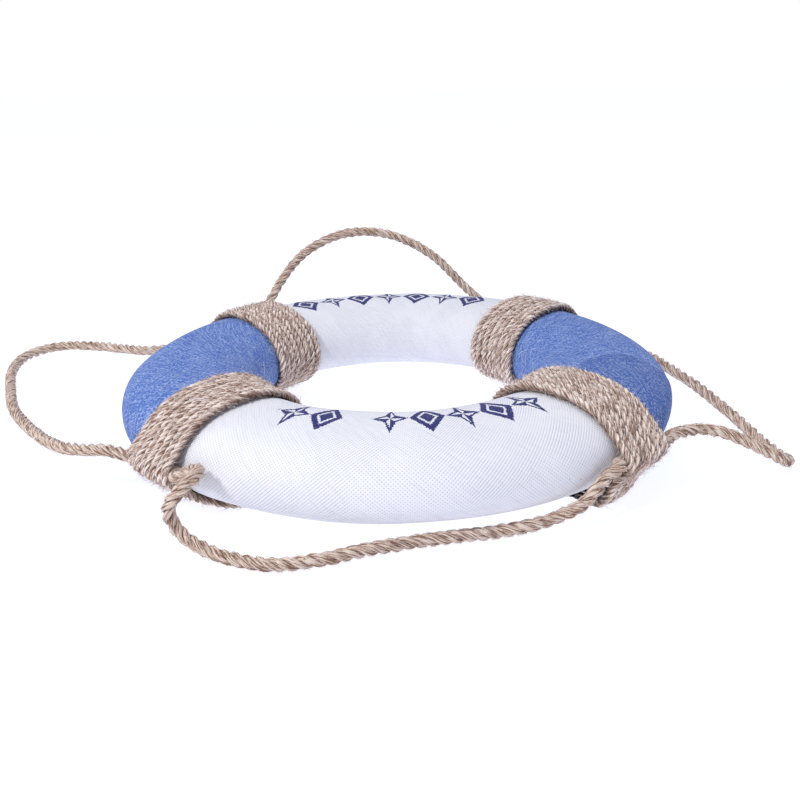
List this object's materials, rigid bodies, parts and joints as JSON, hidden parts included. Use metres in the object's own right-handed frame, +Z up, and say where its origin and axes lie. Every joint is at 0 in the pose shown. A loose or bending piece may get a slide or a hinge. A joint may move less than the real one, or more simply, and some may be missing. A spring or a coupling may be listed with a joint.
{
  "type": "ring lifebuoy",
  "caption": "Decorative foam ring lifebuoy in white and blue cloth, lashed with jute cord that holds a jute grab rope in loops round its rim.",
  "frame": {"origin": "on the floor, under the middle of the ring as it lies flat", "axes": "+Z up through the ring's hole, +Y to the back loop, -Y to the front loop, +X to the right loop"},
  "size_m": [0.5202, 0.3709, 0.1014],
  "materials": {
    "foam": "matte",
    "white_canvas": "matte",
    "blue_cotton": "matte",
    "jute_cord": "matte",
    "jute_rope": "matte"
  },
  "bodies": {
    "ring": {"foam_core": "foam", "white_cover_front": "white_canvas", "white_cover_back": "white_canvas", "blue_cover_left": "blue_cotton", "blue_cover_right": "blue_cotton", "lashing_front_left": "jute_cord", "lashing_front_right": "jute_cord", "lashing_back_left": "jute_cord", "lashing_back_right": "jute_cord", "rope_under_lashing_front_left": "jute_rope", "rope_under_lashing_front_right": "jute_rope", "rope_under_lashing_back_left": "jute_rope", "rope_under_lashing_back_right": "jute_rope"},
    "front_loop": {"grab_rope_front": "jute_rope"},
    "right_loop": {"grab_rope_right": "jute_rope"},
    "back_loop": {"grab_rope_back": "jute_rope"},
    "left_loop": {"grab_rope_left": "jute_rope"}
  },
  "joints": [
    {"name": "front_loop_swing", "type": "hinge", "parent": "ring", "child": "front_loop", "pos_m": [0, -0.143, 0.03], "axis": [-1, 0, 0], "range_deg": [0, 45]},
    {"name": "right_loop_swing", "type": "hinge", "parent": "ring", "child": "right_loop", "pos_m": [0.1474, 0, 0.0285], "axis": [0, -1, 0], "range_deg": [0, 60]},
    {"name": "back_loop_swing", "type": "hinge", "parent": "ring", "child": "back_loop", "pos_m": [0, 0.143, 0.03], "axis": [1, 0, 0], "range_deg": [-60, 20]},
    {"name": "left_loop_swing", "type": "hinge", "parent": "ring", "child": "left_loop", "pos_m": [-0.1474, 0, 0.028], "axis": [0, 1, 0], "range_deg": [0, 80]}
  ]
}
